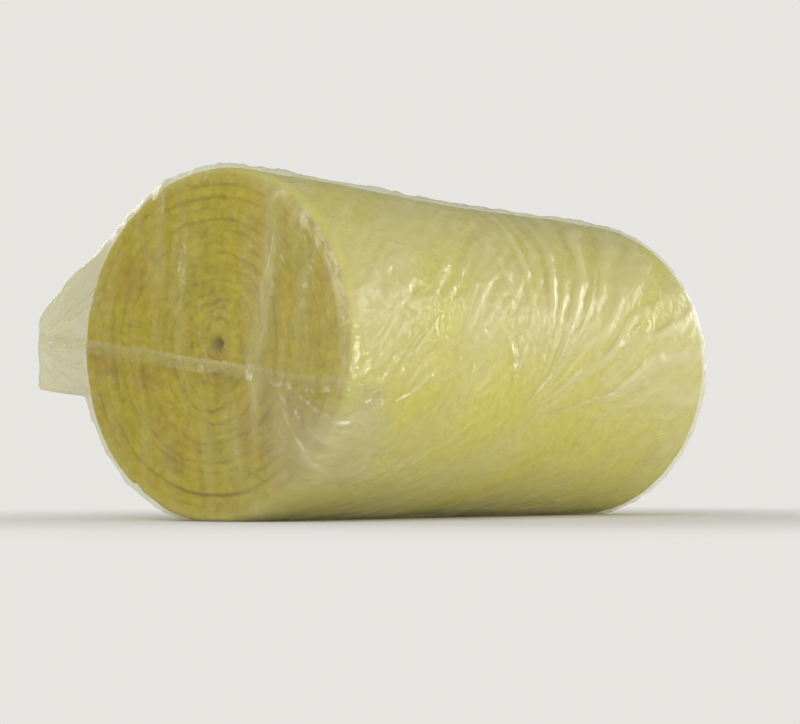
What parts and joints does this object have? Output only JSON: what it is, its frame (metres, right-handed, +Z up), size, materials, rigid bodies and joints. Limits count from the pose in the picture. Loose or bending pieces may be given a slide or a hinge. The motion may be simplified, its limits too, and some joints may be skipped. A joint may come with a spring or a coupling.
{
  "type": "insulation roll",
  "caption": "Soft roll of glass-wool blanket lying on its side, wrapped in a clear film bag with a flat end weld and one standing corner.",
  "frame": {"origin": "middle of the flat stretch of the underside, where the roll rests on the floor", "axes": "+Y along the roll's axis away from the bag's welded end, +X across the roll away from the bag's standing corner, +Z up"},
  "size_m": [0.7206, 1.227, 0.6168],
  "materials": {
    "glass_wool": "yellow resin-bonded glass wool, matt and fibrous",
    "clear_film": "thin clear polyethylene film, glossy, slightly milky and wrinkled"
  },
  "bodies": {
    "root": {"wool_roll": "glass_wool", "film_wrap": "clear_film"}
  },
  "joints": []
}
